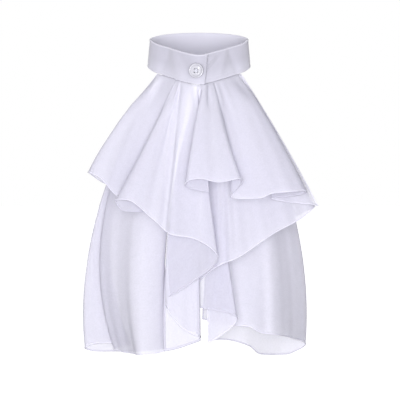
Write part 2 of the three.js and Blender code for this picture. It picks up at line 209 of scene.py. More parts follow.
CASCADE_ROWS = [
    (1.00, 1.0, 0, 0.640, 0.552, 0.310, 0.03),
    (0.99, 1.0, 0, 0.860, 0.515, 0.330, 0.02),
    (0.98, 1.0, 0, 1.000, 0.487, 0.370, 0.02),
    (0.95, 1.0, 0, 0.880, 0.523, 0.480, 0.02),
    (0.85, 1.0, 0, 0.650, 0.568, 0.580, 0.01),
    (0.50, 1.0, 0, 0.290, 0.657, 0.600, 0.00),
    (0.36, 1.0, 0, 0.196, 0.670, 0.580, 0.00),
    (0.20, 1.0, 0, -0.010, 0.747, 0.520, 0.00),
    (0.16, 1.2, 0, -0.010, 0.806, 0.500, 0.00),
    (0.11, 1.4, 0, 0.308, 0.839, 0.490, 0.00),
    (0.08, 1.5, 0, 0.334, 0.853, 0.470, 0.00),
    (0.05, 1.6, 0, 0.292, 0.877, 0.450, 0.00),
    (0.02, 1.8, 0, 0.077, 0.938, 0.425, 0.00),
]
LOWER_RIGHT_ROWS = [
    (0.46, 2.0, 0, 0.026, 0.860, 0.265, 0.00),
    (0.50, 2.0, 0, 0.175, 0.873, 0.270, 0.00),
    (0.56, 2.0, 0, 0.362, 0.884, 0.265, 0.02),
    (0.60, 2.0, 0, 0.440, 0.885, 0.275, 0.04),
    (0.64, 2.0, 0, 0.520, 0.902, 0.330, 0.07),
    (0.70, 2.0, 0, 0.610, 0.905, 0.400, 0.11),
    (0.76, 2.0, 0, 0.685, 0.910, 0.350, 0.12),
    (0.82, 2.0, 0, 0.755, 0.920, 0.200, 0.13),
    (0.88, 2.0, 0, 0.820, 0.936, 0.010, 0.15),
    (0.92, 2.3, 0, 0.910, 0.950, -0.150, 0.20),
    (0.94, 2.8, 0, 0.944, 0.967, -0.220, 0.20),
    (0.955, 3.4, 0, 0.867, 0.985, -0.250, 0.20),
    (0.965, 4.0, 0, 0.766, 1.000, -0.245, 0.18),
    (0.974, 4.6, 0, 0.664, 0.999, -0.210, 0.14),
    (0.982, 5.2, 0, 0.520, 0.992, -0.120, 0.09),
    (0.988, 5.8, 0, 0.455, 0.966, -0.060, 0.05),
    (0.994, 6.4, 0, 0.200, 0.938, 0.020, 0.00),
    (1.0, 7.0, 0, 0.078, 0.942, 0.060, 0.00),
]
LOWER_LEFT_ROWS = [
    (-0.12, 2.0, 1, -0.340, 0.955, 0.285, -0.08),
    (-0.15, 1.5, 1, -0.285, 0.960, 0.320, -0.08),
    (-0.20, 1.0, 1, -0.340, 0.968, 0.340, -0.10),
    (-0.28, 1.0, 1, -0.410, 0.970, 0.410, -0.13),
    (-0.36, 1.0, 1, -0.480, 0.971, 0.435, -0.15),
    (-0.46, 1.0, 1, -0.545, 0.974, 0.390, -0.19),
    (-0.54, 1.0, 1, -0.595, 0.976, 0.250, -0.23),
    (-0.62, 1.0, 1, -0.635, 0.975, 0.130, -0.27),
    (-0.70, 1.0, 1, -0.690, 0.973, 0.050, -0.31),
    (-0.78, 1.0, 1, -0.740, 0.970, 0.010, -0.33),
    (-0.81, 1.7, 1, -0.690, 0.962, -0.040, -0.32),
    (-0.83, 2.4, 1, -0.590, 0.957, -0.070, -0.31),
    (-0.85, 3.1, 1, -0.660, 0.956, -0.110, -0.30),
    (-0.87, 3.2, 1, -0.775, 0.956, -0.120, -0.29),
    (-0.89, 3.3, 1, -0.880, 0.955, -0.120, -0.28),
    (-0.91, 3.4, 1, -0.972, 0.963, -0.130, -0.24),
    (-0.93, 3.7, 1, -1.000, 0.974, -0.155, -0.23),
    (-0.945, 4.2, 1, -0.960, 0.984, -0.185, -0.23),
    (-0.955, 4.8, 1, -0.870, 0.987, -0.200, -0.205),
    (-0.965, 5.4, 1, -0.750, 0.986, -0.190, -0.19),
    (-0.975, 6.0, 1, -0.644, 0.984, -0.140, -0.15),
    (-0.985, 6.6, 1, -0.497, 0.980, -0.050, -0.08),
    (-1.0, 7.2, 1, -0.290, 0.965, 0.050, 0.00),
]


# Curves and the band's shape
def smooth_step(value, start, end):
    share = np.clip((value - start) / (end - start), 0, 1)
    return share * share * (3 - 2 * share)


def smooth_table(rows, places):
    """A smooth curve through each column of a table, which never overshoots a row."""
    rows = np.asarray(rows, float)
    places = np.asarray(places, float)
    slopes = np.diff(rows, axis=0) / np.diff(places)[:, None]
    before, after = slopes[:-1], slopes[1:]
    rising = before * after > 0
    inner = np.where(rising, 2 * before * after / np.where(rising, before + after, 1), 0)
    tangents = np.vstack([slopes[:1], inner, slopes[-1:]])

    def at(place):
        place = np.asarray(place, float)
        i = np.clip(np.searchsorted(places, place) - 1, 0, len(places) - 2)
        width = (places[i + 1] - places[i])[..., None]
        t = np.clip((place - places[i])[..., None] / width, 0, 1)
        rise = rows[i + 1] - rows[i]
        leave = tangents[i] * width
        arrive = tangents[i + 1] * width
        bend = 3 * rise - 2 * leave - arrive
        return rows[i] + t * leave + t ** 2 * bend + t ** 3 * (leave + arrive - 2 * rise)

    return at


plan = smooth_table([[reach] for _, reach in BAND_PLAN], [turn for turn, _ in BAND_PLAN])


def plan_point(turn, radius):
    """Outline of the band from above, on its outer face."""
    around = np.abs((turn + 180) % 360 - 180)
    reach = plan(around)[..., 0] * radius
    angle = np.radians(turn)
    return np.stack([np.sin(angle) * reach, -np.cos(angle) * reach], -1)


def band_point(turn, level, outward):
    """A point of the band: level runs from -0.5 at the lower edge to 0.5 at the rim."""
    turn, level, outward = np.broadcast_arrays(*(np.asarray(v, float) for v in (turn, level, outward)))
    radius = BAND_RADIUS - BAND_FLARE * 2 * level
    place = plan_point(turn, radius)
    along = plan_point(turn + 1, radius) - plan_point(turn - 1, radius)
    along /= np.linalg.norm(along, axis=-1, keepdims=True)
    x, y = place[..., 0], place[..., 1]
    back = smooth_step(y, -TILT_EASE, TILT_EASE)
    tilt = BAND_FRONT_TILT + (BAND_BACK_TILT - BAND_FRONT_TILT) * back
    height = BAND_LIFT + tilt * y + level * BAND_HEIGHT
    return np.stack([x + along[..., 1] * outward, y - along[..., 0] * outward, height], -1)


def lap_step(turn):
    """How far the outer end of the band stands over the inner one."""
    return LAP_STEP * smooth_step(turn, -LAP_FULL - LAP_EASE, -LAP_FULL)


# Meshes
def grid_normals(points):
    across = np.gradient(points, axis=0)
    along = np.gradient(points, axis=1)
    normals = np.cross(across, along)
    return normals / np.maximum(np.linalg.norm(normals, axis=-1, keepdims=True), 1e-12)


def mesh_object(name, points, faces, material, smooth=True):
    mesh = bpy.data.meshes.new(name)
    mesh.from_pydata([tuple(p) for p in points], [], [tuple(int(i) for i in f) for f in faces])
    mesh.validate()
    mesh.polygons.foreach_set("use_smooth", [smooth] * len(mesh.polygons))
    mesh.update()
    piece = bpy.data.objects.new(name, mesh)
    bpy.context.scene.collection.objects.link(piece)
    mesh.materials.append(material)
    return piece


def set_uv(piece, coordinates):
    """Cloth coordinates in metres, one for each point of the mesh."""
    mesh = piece.data
    layer = mesh.uv_layers.new(name="cloth")
    corners = np.empty(len(mesh.loops), dtype=int)
    mesh.loops.foreach_get("vertex_index", corners)
    layer.data.foreach_set("uv", np.asarray(coordinates, float)[corners].ravel())


def set_mask(piece, name, values):
    layer = piece.data.attributes.new(name, "FLOAT", "POINT")
    layer.data.foreach_set("value", np.asarray(values, float).ravel())


def grid_faces(columns, rows, first=0, flip=False):
    i, j = np.meshgrid(np.arange(columns - 1), np.arange(rows - 1), indexing="ij")
    a = first + i * rows + j
    quads = np.stack([a, a + rows, a + rows + 1, a + 1], -1).reshape(-1, 4)
    return quads[:, ::-1] if flip else quads


def wall_faces(columns, rows):
    """Faces of a closed wall whose outer and inner grids follow one another."""
    back = columns * rows
    i = np.arange(columns - 1)
    j = np.arange(rows - 1)
    top = i * rows
    hem = top + rows - 1
    start = j
    end = (columns - 1) * rows + j
    return np.vstack([
        grid_faces(columns, rows),
        grid_faces(columns, rows, back, flip=True),
        np.stack([top, back + top, back + top + rows, top + rows], -1),
        np.stack([hem, hem + rows, back + hem + rows, back + hem], -1),
        np.stack([start, start + 1, back + start + 1, back + start], -1),
        np.stack([end, back + end, back + end + 1, end + 1], -1),
    ])


# Flounces
def flounce_surface(rows, puff):
    """The middle of the cloth, at a distance along the hem and a share of the way down."""
    rows = np.array(rows, float)
    hems = rows[:, 3:6] * (HALF_WIDTH, FALL, FRONT_DEPTH)
    places = np.concatenate([[0], np.cumsum(np.linalg.norm(np.diff(hems, axis=0), axis=1))])
    row_at = smooth_table(rows, places)

    def surface(place, share):
        seam, layer, lap, out, drop, depth, bow = np.moveaxis(row_at(place), -1, 0)
        turn = seam * GATHER_TURN
        inward = CLOTH_WALL / 2 + layer * LAYER_PITCH
        top = band_point(turn, -0.5, lap_step(turn) * lap - inward)
        top[..., 2] -= CLOTH_GAP
        hem = np.stack([out * HALF_WIDTH, -depth * FRONT_DEPTH, -drop * FALL], -1)
        arch = 4 * share * (1 - share)
        point = top + (hem - top) * share[..., None]
        point[..., 0] += bow * HALF_WIDTH * arch
        point[..., 1] -= puff * arch
        return point

    return surface, places[-1]


def edge_steps():
    """Distances from a rolled edge, close together over the roll."""
    return HEM_ROLL * np.array(EDGE_STEPS)


def roll_height(distance):
    """Half the thickness of the cloth at a distance from its rolled edge."""
    across = np.clip(distance / HEM_ROLL - 1, -1, 1)
    roll = HEM_ROLL * np.sqrt(np.maximum(1 - across ** 2, 0.01))
    return np.where(distance < 2 * HEM_ROLL, np.maximum(roll, SHEER / 2), SHEER / 2)


def soften(points, share, kept):
    """Rounds the folds, more so above the hem, and leaves the first and last columns as they are."""
    near_hem = smooth_step(share, 0.5, 1.0)[..., None]
    hem_points = points
    for step in range(TOP_SOFTENING):
        ahead = np.roll(points, -1, axis=0)
        behind = np.roll(points, 1, axis=0)
        points = points.copy()
        points[kept:-kept] = ((ahead + behind + 2 * points) / 4)[kept:-kept]
        if step < HEM_SOFTENING:
            hem_points = points
    return points + (hem_points - points) * near_hem


def soft_waves(place, share, seed, lengths, heights):
    """Soft waves that run down the cloth and grow towards the hem."""
    draw = np.random.default_rng(seed)
    total = np.zeros_like(place)
    for length, height in zip(lengths, heights):
        for _ in range(2):
            phase = draw.uniform(0, 2 * math.pi)
            drift = draw.uniform(-1.2, 1.2)
            skew = draw.uniform(0.8, 1.25)
            total += height * np.sin(2 * math.pi * place / (length * skew) + phase + drift * share)
    return total


def flounce(name, rows, puff, folds, seed, material, thread):
    """A flounce as thin cloth with rolled edges, and the row of stitches along its hem."""
    surface, length = flounce_surface(rows, puff)
    roll = edge_steps()
    middle = int(length / GRID_STEP)
    halfway = np.array([length / 2])
    fall = np.linalg.norm(surface(halfway, np.array([1.0])) - surface(halfway, np.array([0.0])))
    down = int(fall / GRID_STEP)

    # Down the cloth, with the last steps over the rolled hem.
    hem_share = roll[::-1] / fall
    share_rows = np.concatenate([np.linspace(0, 1 - hem_share[0], down)[:-1], 1 - hem_share])
    share = np.broadcast_to(share_rows, (2 * len(roll) + middle, len(share_rows))).copy()

    # Across the cloth, with the first and last steps over the rolled side edges. A pull is how wide the
    # cloth is there for each metre of hem, and a roll takes up no more than a small share of the hem.
    nudge_share = 0.004
    roll_share = 0.03
    nudge = np.full_like(share_rows, length * nudge_share)
    first_pull = np.linalg.norm(surface(nudge, share_rows) - surface(nudge * 0, share_rows), axis=-1) / nudge
    far = np.full_like(share_rows, length)
    last_pull = np.linalg.norm(surface(far, share_rows) - surface(far - nudge, share_rows), axis=-1) / nudge
    least_pull = roll[-1] / (length * roll_share)
    first_pull = np.maximum(first_pull, least_pull)
    last_pull = np.maximum(last_pull, least_pull)
    first = roll[:, None] / first_pull
    last = length - roll[::-1, None] / last_pull
    blend = np.linspace(0, 1, middle + 2)[1:-1, None]
    place = np.vstack([first, first[-1] + (last[0] - first[-1]) * blend, last])

    # The folds, the soft waves towards the hem, and the small gathers under the band.
    points = soften(surface(place, share), share, len(roll))
    lift = fold_relief(place, share, length, folds)
    lift += soft_waves(place, share, seed, WAVE_LENGTHS, WAVE_HEIGHTS) * share ** WAVE_GROWTH
    gathers = soft_waves(place, share * 0, seed + 1, GATHER_LENGTHS, GATHER_HEIGHTS)
    lift += gathers * np.sin(math.pi * np.clip(share / GATHER_REACH, 0, 1))
    points = points + grid_normals(points) * lift[..., None]

    # The two faces of the cloth. Its top edge is cut level, under the band.
    from_side = np.minimum(place * first_pull, (length - place) * last_pull)
    from_edge = np.minimum(from_side, (1 - share) * fall)
    normals = grid_normals(points)
    normals[:, 0, 2] = 0
    normals[:, 0] /= np.linalg.norm(normals[:, 0], axis=-1, keepdims=True)
    half = roll_height(from_edge)[..., None]
    half[:, 0] = SHEER / 2
    outer = (points + normals * half).reshape(-1, 3)
    inner = (points - normals * half).reshape(-1, 3)
    piece = mesh_object(name, np.vstack([outer, inner]), wall_faces(*share.shape), material)
    cloth_uv = np.stack([place, share * fall], -1).reshape(-1, 2)
    set_uv(piece, np.vstack([cloth_uv, cloth_uv]))
    in_roll = (1 - smooth_step(from_edge, DENSE_TO * HEM_ROLL, CLEAR_FROM * HEM_ROLL)).reshape(-1)
    set_mask(piece, "hem", np.concatenate([in_roll, in_roll]))
    gathered = ((1 - share) ** 2).reshape(-1)
    set_mask(piece, "gathered", np.concatenate([gathered, gathered]))
    # Painted shade: the face towards the wearer is painted darker, standing in for the shade inside folds and
    # returns.
    wearer_side = 1.0 if rows[-1][0] > rows[0][0] else 0.0
    set_mask(piece, "wrong_side_painted_shade", np.repeat([wearer_side, 1 - wearer_side], gathered.size))

    # The stitches lie on the face that looks away from the wearer.
    seam = -1 - STITCHED_STEP
    outward = 1 - 2 * wearer_side
    line = points[:, seam] + normals[:, seam] * half[:, seam] * outward
    stitches = stitch_row(name + "_stitches", line, HEM_STITCH, thread)
    return piece, stitches


def fold_relief(place, share, length, folds):
    """Long folds. Each has its place along the hem, its width and height, and where it starts and ends."""
    total = np.zeros_like(place)
    for along, width, height, start, end in folds:
        across = (place - along * length) / (width * length)
        grown = smooth_step(share, start, start + FOLD_RISE)
        kept = 1 - smooth_step(share, end, end + FOLD_FADE)
        total += height * np.exp(-across ** 2) * (grown * kept)
    return total


# Materials
class Value:
    """A node's output, so that shader maths reads as ordinary expressions."""

    def __init__(self, tree, socket):
        self.tree = tree
        self.socket = socket

    def maths(self, operation, *values):
        return self.tree.node("ShaderNodeMath", {"operation": operation}, *values)

    def __add__(self, other):
        return self.maths("ADD", self, other)

    def __radd__(self, other):
        return self.maths("ADD", other, self)

    def __sub__(self, other):
        return self.maths("SUBTRACT", self, other)

    def __rsub__(self, other):
        return self.maths("SUBTRACT", other, self)

    def __mul__(self, other):
        return self.maths("MULTIPLY", self, other)

    def __rmul__(self, other):
        return self.maths("MULTIPLY", other, self)

    def sine(self):
        return self.maths("SINE", self)

    def limited(self):
        return self.tree.node("ShaderNodeClamp", {}, self)


class Finish:
    """A material's node tree."""

    def __init__(self, name):
        self.material = bpy.data.materials.new(name)
        self.material.use_nodes = True
        self.nodes = self.material.node_tree.nodes
        self.links = self.material.node_tree.links
        self.nodes.clear()
        self.end = self.nodes.new("ShaderNodeOutputMaterial")

    def node(self, kind, settings, *values, output=0, **named):
        """Adds a node, sets it up, then feeds its inputs in order or by name."""
        node = self.nodes.new(kind)
        for name, value in settings.items():
            setattr(node, name, value)
        for key, value in [*enumerate(values), *((k.replace("_", " "), v) for k, v in named.items())]:
            if isinstance(value, Value):
                self.links.new(value.socket, node.inputs[key])
            elif value is not None:
                node.inputs[key].default_value = value
        return Value(self, node.outputs[output])

    def mix_colour(self, factor, first, second):
        node = self.nodes.new("ShaderNodeMix")
        node.data_type = "RGBA"
        for socket, value in ((node.inputs[0], factor), (node.inputs[6], first), (node.inputs[7], second)):
            if isinstance(value, Value):
                self.links.new(value.socket, socket)
            else:
                socket.default_value = value
        return Value(self, node.outputs[2])

    def noise(self, place, scale, detail, roughness):
        return self.node("ShaderNodeTexNoise", {}, Vector=place, Scale=scale, Detail=detail,
                         Roughness=roughness)

    def mask(self, name):
        return self.node("ShaderNodeAttribute", {"attribute_name": name}, output=2)

    def cloth_place(self):
        """The cloth's own coordinates, in metres."""
        return self.node("ShaderNodeUVMap", {"uv_map": "cloth"})

    def object_place(self):
        return self.node("ShaderNodeTexCoord", {}, output=3)

    def finish(self, shader):
        self.links.new(shader.socket, self.end.inputs["Surface"])
        return self.material


def colour(red, green, blue):
    return (red, green, blue, 1.0)


def thread_pattern(tree, cloth, pitch):
    """Crossing threads: a number from -1 to 1 from the cloth's own coordinates."""
    x = tree.node("ShaderNodeSeparateXYZ", {}, cloth, output=0)
    y = tree.node("ShaderNodeSeparateXYZ", {}, cloth, output=1)
    turn = 2 * math.pi / pitch
    return (x * turn).sine() * 0.5 + (y * turn).sine() * 0.5


def sheer_finish():
    """Thin crinkled cloth, denser over the rolled hems and where it is gathered."""
    tree = Finish("sheer_cloth")
    cloth = tree.cloth_place()
    place = tree.object_place()
    hem = tree.mask("hem")
    gathered = tree.mask("gathered")
    wrong_side_painted_shade = tree.mask("wrong_side_painted_shade")
    threads = thread_pattern(tree, cloth, 0.0011)
    crinkle = tree.noise(cloth, 520.0, 3.0, 0.6)
    mottle = tree.noise(cloth, 130.0, 2.0, 0.5)
    cloud = tree.noise(place, 14.0, 2.0, 0.5)
    cover = 0.48 + gathered * 0.3 + threads * 0.02 + (crinkle - 0.5) * 0.10 + (mottle - 0.5) * 0.05
    alpha = (cover + hem * 0.35).limited()
    face = tree.mix_colour(cloud, colour(0.885, 0.872, 0.975), colour(0.915, 0.902, 0.985))
    # Painted shade: the face towards the wearer gets a darker colour, for the shade inside folds and returns.
    base = tree.mix_colour(wrong_side_painted_shade, face, colour(0.68, 0.67, 0.75))
    height = threads * 0.25 + crinkle + mottle * 0.6
    bump = tree.node("ShaderNodeBump", {}, Strength=0.35, Distance=0.0003, Height=height)
    front = tree.node("ShaderNodeBsdfPrincipled", {}, Base_Color=base, Roughness=0.85,
                      Specular_IOR_Level=0.2, Diffuse_Roughness=0.1, Normal=bump)
    back = tree.node("ShaderNodeBsdfTranslucent", {}, Color=colour(0.9, 0.89, 0.98), Normal=bump)
    cloth_light = tree.node("ShaderNodeMixShader", {}, 0.2, front, back)
    clear = tree.node("ShaderNodeBsdfTransparent", {})
    return tree.finish(tree.node("ShaderNodeMixShader", {}, alpha, clear, cloth_light))


def band_finish():
    """Closely woven cloth over a stiff lining."""
    tree = Finish("band_cloth")
    cloth = tree.cloth_place()
    place = tree.object_place()
    threads = thread_pattern(tree, cloth, 0.0009)
    fuzz = tree.noise(cloth, 900.0, 2.0, 0.5)
    cloud = tree.noise(place, 45.0, 3.0, 0.5)
    lining = tree.mask("lining")
    lower = tree.mask("lower")
    high_face = tree.mix_colour(cloud, colour(0.49, 0.48, 0.555), colour(0.55, 0.54, 0.615))
    low_face = tree.mix_colour(cloud, colour(0.56, 0.55, 0.63), colour(0.62, 0.61, 0.69))
    face = tree.mix_colour(lower, high_face, low_face)
    # Painted light: both edges are lighter, a painted highlight along the rim and painted light over the
    # shade under the lower edge.
    rim = tree.mask("rim")
    inside = tree.mix_colour(lining, face, colour(0.70, 0.69, 0.77))
    base = tree.mix_colour(rim, inside, colour(0.66, 0.65, 0.73))
    height = threads * 0.5 + fuzz * 0.8
    bump = tree.node("ShaderNodeBump", {}, Strength=0.3, Distance=0.0003, Height=height)
    shader = tree.node("ShaderNodeBsdfPrincipled", {}, Base_Color=base, Roughness=0.85,
                       Specular_IOR_Level=0.25, Normal=bump, Sheen_Weight=0.3,
                       Diffuse_Roughness=0.5)
    return tree.finish(shader)


def button_finish():
    """Polished pearly plastic."""
    tree = Finish("button_white")
    place = tree.object_place()
    cloud = tree.noise(place, 260.0, 3.0, 0.55)
    base = tree.mix_colour(cloud, colour(0.45, 0.445, 0.50), colour(0.53, 0.525, 0.575))
    gloss = 0.2 + cloud * 0.12
    shader = tree.node("ShaderNodeBsdfPrincipled", {}, Base_Color=base, Roughness=gloss,
                       Coat_Weight=0.3)
    return tree.finish(shader)


def thread_finish():
    """Twisted sewing thread."""
    tree = Finish("thread_white")
    place = tree.object_place()
    twist = tree.noise(place, 2600.0, 2.0, 0.5)
    base = tree.mix_colour(twist, colour(0.60, 0.60, 0.67), colour(0.72, 0.72, 0.79))
    bump = tree.node("ShaderNodeBump", {}, Strength=0.4, Distance=0.0001, Height=twist)
    shader = tree.node("ShaderNodeBsdfPrincipled", {}, Base_Color=base, Roughness=0.8, Normal=bump)
    return tree.finish(shader)


def paper_finish():
    tree = Finish("paper")
    shader = tree.node("ShaderNodeBsdfPrincipled", {}, Base_Color=colour(0.95, 0.95, 0.95), Roughness=1.0,
                       Specular_IOR_Level=0.0, Emission_Color=colour(1, 1, 1), Emission_Strength=0.8)
    return tree.finish(shader)


# Neck band
def neck_band(material):
    """One strip round the neck: its outer face, the rim, the lining and the lower edge."""
    columns = 400
    rows = 28
    rim_steps = 7
    share = np.linspace(0, 1, columns)
    around = 2 * math.pi * BAND_RADIUS
    near_end = np.clip(np.minimum(share, 1 - share) * around / BAND_END_TAPER, 0.02, 1)
    thick = np.sqrt(np.clip(1 - (1 - near_end) ** 2, 0.05, 1))
    half = BAND_CLOTH / 2
    arc = np.linspace(0, math.pi, rim_steps + 2)[1:-1]
    edge = half / BAND_HEIGHT
    up = np.linspace(-0.5 + edge, 0.5 - edge, rows)
    rim_level = 0.5 - edge + edge * np.sin(arc)
    level = np.concatenate([up, rim_level, up[::-1], -rim_level])
    inward = np.concatenate([
        np.zeros(rows), half - half * np.cos(arc), np.full(rows, 2 * half), half + half * np.cos(arc),
    ])
    level_grid = np.broadcast_to(level, (columns, len(level)))
    start = lap_end(level_grid)
    turn = start + (-360 - LAP_UNDER - start) * share[:, None]
    inward_grid = half + (inward - half) * thick[:, None]
    points = band_point(turn, level_grid, lap_step(turn) - inward_grid + band_relief(turn, level_grid))
    count = len(level)
    faces = [grid_faces(columns, count, flip=True)]
    first = np.arange(columns - 1)[:, None] * count
    last = first + count - 1
    faces.append(np.stack([last, first, first + count, last + count], -1).reshape(-1, 4))
    piece = mesh_object("neck_band_cloth", points.reshape(-1, 3), np.vstack(faces), material)
    close_ends(piece)
    metres = np.stack([np.radians(turn) * BAND_RADIUS, level_grid * BAND_HEIGHT], -1)
    set_uv(piece, metres.reshape(-1, 2))

    # The lining, the two edges where the cloth is folded over it, painted lighter as a painted highlight
    # along the rim and painted light over the shade under the lower edge, and the lower part of the band.
    set_mask(piece, "lining", np.broadcast_to(smooth_step(inward, half, 2 * half), level_grid.shape))
    set_mask(piece, "rim", smooth_step(np.abs(level_grid + 0.004), 0.45, 0.485))
    set_mask(piece, "lower", smooth_step(-level_grid, -0.05, 0.4))
    return piece


def band_relief(turn, level):
    """Slight creases, the fuller rim, and the hollow of the seam along the lower edge."""
    seam = -BAND_SEAM_DEPTH * np.exp(-((level - band_seam_level()) / BAND_SEAM_SPREAD) ** 2)
    rim = BAND_RIM_RISE * smooth_step(level, 0.42, 0.47)
    total = seam + rim
    for place, height, lean, wide, tall, raised in BAND_CREASES:
        off_line = turn - place - (level - height) * lean
        total = total + raised * np.exp(-(off_line / wide) ** 2) * np.exp(-((level - height) / tall) ** 2)
    return total


def band_seam_level():
    return -0.5 + BAND_SEAM_RISE / BAND_HEIGHT


def lap_end(level):
    """Where the lapped end lies at a level, in degrees round from the front."""
    return LAP_END_BOTTOM + (LAP_END_TOP - LAP_END_BOTTOM) * (level + 0.5)


def band_stitches(material):
    """The row along the band's lower seam, and the row down its lapped end."""

    def on_face(turn, level):
        return band_point(turn, level, lap_step(turn) + band_relief(turn, level))

    outer = np.linspace(-SEAM_STITCH_BACK, LAP_END_BOTTOM - LAP_STITCH_IN, 500)
    low = on_face(outer, np.full_like(outer, band_seam_level()))
    level = np.linspace(band_seam_level(), LAP_STITCH_TOP, 40)
    end = on_face(lap_end(level) - LAP_STITCH_IN, level)
    inner = np.linspace(LAP_END_BOTTOM + LAP_STITCH_OUT, SEAM_STITCH_BACK, 500) - 360
    far = on_face(inner, np.full_like(inner, band_seam_level()))
    lines = (np.vstack([low, end[1:]]), far)
    return joined([stitch_row("band_stitches", line, BAND_STITCH, material) for line in lines])


def joined(pieces):
    """The first piece, with the others' meshes added to it."""
    work = bmesh.new()
    for piece in pieces:
        work.from_mesh(piece.data)
    work.to_mesh(pieces[0].data)
    work.free()
    for piece in pieces[1:]:
        bpy.data.objects.remove(piece)
    return pieces[0]


def close_ends(piece):
    work = bmesh.new()
    work.from_mesh(piece.data)
    open_edges = [edge for edge in work.edges if edge.is_boundary]
    bmesh.ops.holes_fill(work, edges=open_edges, sides=0)
    bmesh.ops.recalc_face_normals(work, faces=work.faces)
    work.to_mesh(piece.data)
    work.free()
    piece.data.polygons.foreach_set("use_smooth", [True] * len(piece.data.polygons))


# Stitches
def stitch_tree():
    """Stitches along a line: each a short bar of thread, turned to run with the line."""
    tree = bpy.data.node_groups.new("stitches", "GeometryNodeTree")
    sockets = {"Geometry": "NodeSocketGeometry", "Pitch": "NodeSocketFloat", "Length": "NodeSocketFloat",
               "Thickness": "NodeSocketFloat", "Thread": "NodeSocketMaterial"}
    for name, kind in sockets.items():
        tree.interface.new_socket(name, in_out="INPUT", socket_type=kind)
    tree.interface.new_socket("Geometry", in_out="OUTPUT", socket_type="NodeSocketGeometry")
    given = tree.nodes.new("NodeGroupInput")
    done = tree.nodes.new("NodeGroupOutput")

    def node(kind, **settings):
        made = tree.nodes.new(kind)
        for key, value in settings.items():
            setattr(made, key, value)
        return made

    def link(*pairs):
        for start, end in pairs:
            tree.links.new(start, end)

    line = node("GeometryNodeMeshToCurve")
    spaced = node("GeometryNodeResampleCurve", mode="LENGTH")
    along = node("GeometryNodeInputTangent")
    turned = node("FunctionNodeAlignRotationToVector", axis="X")
    bar = node("GeometryNodeMeshUVSphere")
    bar.inputs["Segments"].default_value = 6
    bar.inputs["Rings"].default_value = 5
    bar.inputs["Radius"].default_value = 0.5
    size = node("ShaderNodeCombineXYZ")
    placed = node("GeometryNodeInstanceOnPoints")
    real = node("GeometryNodeRealizeInstances")
    finish = node("GeometryNodeSetMaterial")
    link((given.outputs["Geometry"], line.inputs["Mesh"]),
         (line.outputs["Curve"], spaced.inputs["Curve"]),
         (given.outputs["Pitch"], spaced.inputs["Length"]),
         (spaced.outputs["Curve"], placed.inputs["Points"]),
         (bar.outputs["Mesh"], placed.inputs["Instance"]),
         (along.outputs["Tangent"], turned.inputs["Vector"]),
         (turned.outputs["Rotation"], placed.inputs["Rotation"]),
         (given.outputs["Length"], size.inputs["X"]),
         (given.outputs["Thickness"], size.inputs["Y"]),
         (given.outputs["Thickness"], size.inputs["Z"]),
         (size.outputs["Vector"], placed.inputs["Scale"]),
         (placed.outputs["Instances"], real.inputs["Geometry"]),
         (real.outputs["Geometry"], finish.inputs["Geometry"]),
         (given.outputs["Thread"], finish.inputs["Material"]),
         (finish.outputs["Geometry"], done.inputs["Geometry"]))
    return tree


def stitch_row(name, line, stitch, material):
    """A row of stitches along a line of points. stitch: pitch, length and thickness."""
    mesh = bpy.data.meshes.new(name)
    mesh.from_pydata([tuple(point) for point in line], [(i, i + 1) for i in range(len(line) - 1)], [])
    piece = bpy.data.objects.new(name, mesh)
    bpy.context.scene.collection.objects.link(piece)
    tree = bpy.data.node_groups.get("stitches") or stitch_tree()
    sewing = piece.modifiers.new("stitches", "NODES")
    sewing.node_group = tree
    inputs = {item.name: item.identifier for item in tree.interface.items_tree if item.in_out == "INPUT"}
    for key, value in zip(("Pitch", "Length", "Thickness", "Thread"), (*stitch, material)):
        sewing[inputs[key]] = value
    apply_modifiers(piece)
    piece.data.polygons.foreach_set("use_smooth", [True] * len(piece.data.polygons))
    return piece


# Button and thread
def button_frame():
    """The middle of the button's back, and its axes across, up and out."""
    turn = math.degrees(math.atan2(BUTTON_ACROSS, BAND_RADIUS * dict(BAND_PLAN)[0]))
    out = float(lap_step(np.array(turn))) + BUTTON_GAP

    def at(step, rise):
        return Vector(band_point(turn + step, BUTTON_HEIGHT_SHARE + rise, out))

    half_turn = math.degrees(BUTTON_DIAMETER / 4 / BAND_RADIUS)
    half_rise = BUTTON_DIAMETER / 4 / BAND_HEIGHT
    centre = at(0, 0)
    up = (at(0, half_rise) - centre).normalized()
    side = (at(half_turn, 0) - at(-half_turn, 0)).normalized()
    face = side.cross(up).normalized()
    across = up.cross(face)
    return Matrix((across, up, face)).transposed().to_4x4(), centre


def hole_places():
    half = BUTTON_HOLE_SPACING / 2
    return [(half, half), (half, -half), (-half, -half), (-half, half)]


def apply_modifiers(piece):
    bpy.context.view_layer.update()
    done = bpy.data.meshes.new_from_object(piece.evaluated_get(bpy.context.evaluated_depsgraph_get()))
    piece.modifiers.clear()
    piece.data = done


